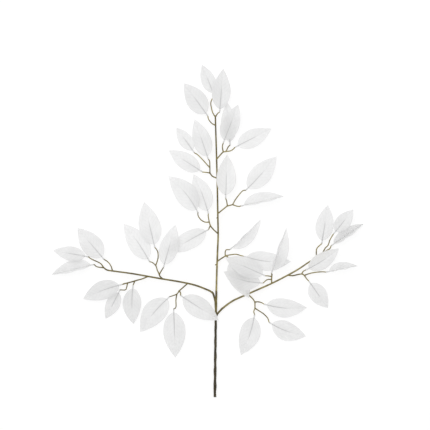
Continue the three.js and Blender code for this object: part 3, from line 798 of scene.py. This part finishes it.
def wrapped_stem_rule():
    """The stem: soft lobes that twist under tape wound in overlapping turns, flat where it lies."""
    rule, lines, size = growing_rule("wrapped_stem", {
        "Step": ("Float", 0.8 * MM),
        "Sides": ("Int", 28),
        "Lobe": ("Float", LOBE_RISE * MM),
        "Lobe turn": ("Float", LOBE_PITCH * MM),
        "Tape pitch": ("Float", TAPE_PITCH * MM),
        "Tape thickness": ("Float", TAPE_THICKNESS * MM),
        "Crumple": ("Float", CRUMPLE * MM),
        "Tape": ("Material", None),
    })
    shape = tube(rule, lines, size["Sides"], rule.attribute("girth"), size["Step"])
    place = rule.place()
    run, turn = rule.attribute("run"), rule.attribute("turn")
    lobes = rule.combine("COSINE", (turn - run / size["Lobe turn"]) * (2 * math.pi * LOBES)) * size["Lobe"]
    wound = rule.combine("FRACT", run / size["Tape pitch"] + turn)
    tape = (1 - rule.ramp(wound, 0.0, TAPE_EDGE)) * size["Tape thickness"]
    crumple = (rule.noise(place, 260.0, 3.0, 0.6) - 0.5) * size["Crumple"]
    shape = rule.put(shape, "Offset", rule.facing() * (lobes + tape + crumple))
    shape = rule.kept(shape, "wound", wound)
    x, y, z = rule.parts(place)
    shape = rule.put(shape, "Position", rule.vector(x, y, rule.combine("MAXIMUM", z, 0.0)))
    shape = one_skin(rule, shape, ["pale", "wound"])
    return finished(rule, clad(rule, smoothed(rule, shape), size["Tape"]))


def wire_rule():
    """A plain round wire, cut square."""
    rule, lines, size = growing_rule("plain_wire", {"Sides": ("Int", 20), "Steel": ("Material", None)})
    shape = tube(rule, lines, size["Sides"], rule.attribute("girth"))
    return finished(rule, clad(rule, shape, size["Steel"]))


# Finishes

def new_finish(name, **values):
    """A material with its shader's plain values set, and the rule that the rest of it is written in."""
    material = bpy.data.materials.new(name)
    material.use_nodes = True
    rule = Rule(material.node_tree)
    shader = material.node_tree.nodes["Principled BSDF"]
    for socket, value in values.items():
        shader.inputs[socket.replace("_", " ")].default_value = value
    return material, rule, shader


def painted(rule, share, first, second):
    """A colour between two, by a share from 0 to 1."""
    node = rule.add("ShaderNodeMix", data_type="RGBA", clamp_factor=True)
    rule.feed(node.inputs["Factor"], share)
    for socket, colour in (("A_Color", first), ("B_Color", second)):
        target = next(s for s in node.inputs if s.identifier == socket)
        rule.feed(target, colour if isinstance(colour, bpy.types.NodeSocket) else (*colour, 1))
    return next(s for s in node.outputs if s.type == "RGBA")


def grey(value):
    return (value, value, value)


def read(rule, name, output="Fac"):
    """A stored value of the piece, in a finish."""
    return Signal(rule, rule.add("ShaderNodeAttribute", attribute_name=name).outputs[output])


def object_place(rule):
    return Signal(rule, rule.add("ShaderNodeTexCoord").outputs["Object"])


def bumped(rule, shader, height, depth, strength):
    feeds = {"Height": height, "Distance": depth, "Strength": strength}
    rule.feed(shader.inputs["Normal"], rule.add("ShaderNodeBump", feeds).outputs[0])


def leaf_fabric():
    """Stiffened sheer white fabric: fine weave, long fibres, embossed side veins with painted shade along
    them, painted shade by the rib, and painted light beside a fold raised towards the lamp.
    """
    material, rule, shader = new_finish(
        "leaf_fabric",
        Sheen_Weight=0.1, Sheen_Roughness=0.4, Subsurface_Weight=1.0, Subsurface_Scale=1.2 * MM,
        Subsurface_Radius=(1, 1, 1), Specular_IOR_Level=0.2,
    )
    along, across, share = rule.parts(read(rule, "leaf_place", "Vector"))
    edge = read(rule, "leaf_edge")
    reach = rule.combine("ABSOLUTE", across)
    fibres = rule.noise(rule.vector(along * 25, across * 700, share), 1.0, 4.0, 0.6)
    cloud = rule.noise(object_place(rule), 45.0, 2.0)
    lean = along - reach * VEIN_SLANT - reach * reach * VEIN_CURL
    saw = rule.combine("FRACT", lean / (VEIN_PITCH * MM))
    crest = 1 - rule.combine("ABSOLUTE", saw * 2 - 1)
    veins = rule.ramp(crest, 0.86, 1.0) * (1 - rule.ramp(edge, 0.6, 1.0))
    thread = 2 * math.pi / (THREAD_PITCH * MM)
    threads = rule.combine("SINE", along * thread) * rule.combine("SINE", across * thread)
    near_rib = (1 - rule.ramp(reach, 0.3 * MM, 1.3 * MM)) * (1 - rule.ramp(share, RIB_REACH - 0.2, RIB_REACH))
    # The side veins darken the tone: painted shade of their embossing
    tone = fibres * 0.5 + cloud * 0.5 - veins * 0.25
    weave = rule.ramp(tone, 0.2, 0.75)
    sheer = painted(rule, weave, grey(0.76), grey(0.87))
    dense = painted(rule, weave, grey(0.64), grey(0.75))
    cloth = painted(rule, read(rule, "cloth_density"), sheer, dense)
    # Painted light: near the rib, the half beside a fold raised on the lamp's side is lightened against the
    # raised half's shade
    fold_light_mask = (1 - rule.ramp(reach, 0, FOLD_LIGHT_REACH * MM)) * read(rule, "painted_fold_light")
    lit = painted(rule, fold_light_mask, cloth, grey(0.97))
    # Painted shade along the rib, weaker on a leaf folded shut
    shaded = painted(rule, near_rib * read(rule, "rib_shade") * 0.8, lit, grey(0.6))
    rule.feed(shader.inputs["Base Color"], shaded)
    rule.feed(shader.inputs["Roughness"], rule.ramp(fibres, 0.2, 0.8, 0.52, 0.72))
    bumped(rule, shader, veins * 0.8 + fibres * 0.35 + threads * 0.08, 0.12 * MM, 0.7)
    return material


def socket_plastic():
    """The moulded socket: milky white plastic with a faint flow grain."""
    material, rule, shader = new_finish("socket_plastic", Specular_IOR_Level=0.3)
    grain = rule.noise(object_place(rule), 420.0, 3.0)
    milky = painted(rule, rule.ramp(grain, 0.3, 0.7), grey(0.72), grey(0.84))
    rule.feed(shader.inputs["Base Color"], milky)
    rule.feed(shader.inputs["Roughness"], rule.ramp(grain, 0.3, 0.7, 0.4, 0.55))
    bumped(rule, shader, grain, 0.05 * MM, 0.5)
    return material


def branch_plastic():
    """Matte olive-brown plastic in patches with dark specks, paler on young twigs than on old wood."""
    material, rule, shader = new_finish("branch_plastic", Specular_IOR_Level=0.3)
    place = object_place(rule)
    patches = rule.noise(place, 95.0, 3.0, 0.65)
    specks = rule.noise(place, 900.0, 2.0)
    young = painted(rule, rule.ramp(patches, 0.3, 0.68), (0.2, 0.16, 0.065), (0.46, 0.385, 0.165))
    old = painted(rule, rule.ramp(patches, 0.32, 0.7), (0.055, 0.04, 0.014), (0.2, 0.158, 0.05))
    tone = painted(rule, read(rule, "pale"), old, young)
    speckled = painted(rule, rule.ramp(specks, 0.6, 0.72) * 0.35, tone, (0.03, 0.023, 0.012))
    rule.feed(shader.inputs["Base Color"], speckled)
    rule.feed(shader.inputs["Roughness"], rule.ramp(patches, 0.3, 0.7, 0.5, 0.72))
    bumped(rule, shader, patches * 0.6 + specks * 0.4, 0.12 * MM, 0.8)
    return material


def stem_tape():
    """Waxed dark-brown tape: creased, with a painted highlight in patches along the raised edge of each turn,
    olive near the branches.
    """
    material, rule, shader = new_finish("stem_tape", Specular_IOR_Level=0.35)
    place = object_place(rule)
    x, y, z = rule.parts(place)
    creases = rule.noise(rule.vector(x * 900, y * 160, z * 900), 1.0, 4.0, 0.6)
    patches = rule.noise(place, 110.0, 2.0)
    # Painted highlight: in patches, the raised edge of each turn is painted pale
    edge_highlight = (1 - rule.ramp(read(rule, "wound"), 0.0, TAPE_EDGE_HIGHLIGHT)) * rule.ramp(patches, 0.35, 0.6)
    mottle = rule.ramp(creases * 0.6 + patches * 0.4, 0.35, 0.65)
    tone = painted(rule, mottle, (0.032, 0.025, 0.01), (0.084, 0.066, 0.03))
    tone = painted(rule, edge_highlight * 0.8, tone, (0.17, 0.135, 0.08))
    olive = painted(rule, rule.ramp(patches, 0.32, 0.7), (0.085, 0.067, 0.024), (0.23, 0.186, 0.066))
    rule.feed(shader.inputs["Base Color"], painted(rule, read(rule, "pale"), tone, olive))
    rule.feed(shader.inputs["Roughness"], rule.ramp(creases, 0.3, 0.7, 0.5, 0.75))
    bumped(rule, shader, creases, 0.14 * MM, 0.8)
    return material


def wire_steel():
    """Drawn steel wire with fine lines along it."""
    material, rule, shader = new_finish("wire_steel", Metallic=1.0)
    x, y, z = rule.parts(object_place(rule))
    drawn = rule.noise(rule.vector(x * 3000, y * 60, z * 3000), 1.0, 3.0)
    steel = painted(rule, rule.ramp(drawn, 0.3, 0.7), (0.36, 0.36, 0.35), (0.6, 0.6, 0.59))
    rule.feed(shader.inputs["Base Color"], steel)
    rule.feed(shader.inputs["Roughness"], rule.ramp(drawn, 0.3, 0.7, 0.28, 0.5))
    bumped(rule, shader, drawn, 0.03 * MM, 0.5)
    return material


def backlit_floor():
    """A white table with light coming up through it."""
    material, rule, shader = new_finish(
        "backlit_floor",
        Roughness=0.9, Specular_IOR_Level=0.0, Emission_Strength=FLOOR_LIGHT, Emission_Color=(1, 1, 1, 1),
    )
    haze = rule.noise(object_place(rule), 3.0, 2.0)
    rule.feed(shader.inputs["Base Color"], painted(rule, haze, grey(0.34), grey(0.36)))
    return material


# The spray

def set_on(piece, node):
    """The piece stands for a node of the part: it hangs on the part's root body, and the node's own mesh is
    hidden.
    """
    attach(piece, "root")
    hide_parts(node)


def painted_fold_light(one):
    """How strongly light is painted beside a leaf's fold: how far its raised half stands before its other
    half on the lamp's side, from 0 to 1.
    """
    left = UP.cross(Vector(one["tip"]) - Vector(one["base"])).normalized()
    raised = math.sin(math.radians(one["fold"][0])) - math.sin(math.radians(one["fold"][1]))
    return max(raised * left.dot(LAMP_SIDE), 0.0)


def build_leaves():
    tree, fabric, socket = leaf_rule(), leaf_fabric(), socket_plastic()
    for s, (name, (_, _, _, leaves)) in enumerate(SPRIGS.items()):
        for k, one in enumerate(leaves):
            label = f"{name}_{'abc'[k]}"
            node = f"leaf_{label}"
            piece = grown(f"fabric_{node}", tree, {
                "Base": spot(one["base"]),
                "Tip": spot(one["tip"]),
                "Width": one["width"] * MM,
                "Left fold": math.radians(one["fold"][0]),
                "Right fold": math.radians(one["fold"][1]),
                "Bend": one["bend"] * MM,
                # The edge waves of neighbouring leaves start apart
                "Phase": float(s + 2 * k),
                "Density": float(DENSITY.get(label, DENSITY.get(name, 0))),
                "Painted fold light": painted_fold_light(one),
                "Fabric": fabric,
                "Socket plastic": socket,
            })
            set_on(piece, node)


def build_branches():
    tree, plastic = branch_rule(), branch_plastic()
    for name in BRANCHES:
        lines = line_mesh(name, branch_lines(name))
        piece = grown(f"moulded_{name}_branch", tree, {"Plastic": plastic}, lines)
        set_on(piece, f"{name}_branch")


def build_stem():
    lines = line_mesh("stem", stem_lines())
    piece = grown("tape_wrapped_stem", wrapped_stem_rule(), {"Tape": stem_tape()}, lines)
    set_on(piece, "stem_wrap")
    lines = line_mesh("wire", [wire_line()])
    piece = grown("steel_stem_wire", wire_rule(), {"Steel": wire_steel()}, lines)
    set_on(piece, "stem_wire")


# The studio

def build_floor():
    mesh = bpy.data.meshes.new("table_top")
    corners = [(-1, -1), (1, -1), (1, 1), (-1, 1)]
    mesh.from_pydata([(x * FLOOR_REACH, y * FLOOR_REACH, 0) for x, y in corners], [], [(0, 1, 2, 3)])
    mesh.materials.append(backlit_floor())
    floor = bpy.data.objects.new("table_top", mesh)
    bpy.context.scene.collection.objects.link(floor)


def soft_light(name, place, size, power):
    lamp = bpy.data.lights.new(name, "AREA")
    lamp.shape = "DISK"
    lamp.size = size
    lamp.energy = power
    light = bpy.data.objects.new(name, lamp)
    light.location = place
    light.rotation_euler = (-place).to_track_quat("-Z", "Y").to_euler()
    light.visible_camera = False
    bpy.context.scene.collection.objects.link(light)


def build_studio():
    world = bpy.data.worlds.new("white_room")
    world.use_nodes = True
    sky = world.node_tree.nodes["Background"]
    sky.inputs["Color"].default_value = (1, 1, 1, 1)
    sky.inputs["Strength"].default_value = ROOM_LIGHT
    bpy.context.scene.world = world
    soft_light("overhead_softbox", LAMP, LAMP_SIZE, LAMP_POWER)
    bpy.context.scene.view_settings.view_transform = "Standard"


def build_camera():
    """Straight above the spray, as high as puts the picture's width of table in view."""
    view = bpy.data.cameras.new("overhead")
    view.lens = LENS
    view.sensor_width = SENSOR
    view.clip_end = 100
    camera = bpy.data.objects.new("overhead", view)
    camera.location = (*PICTURE_MIDDLE, PICTURE_WIDTH * LENS / SENSOR)
    bpy.context.scene.collection.objects.link(camera)
    bpy.context.scene.camera = camera


build_camera()
build_leaves()
build_branches()
build_stem()
build_floor()
build_studio()
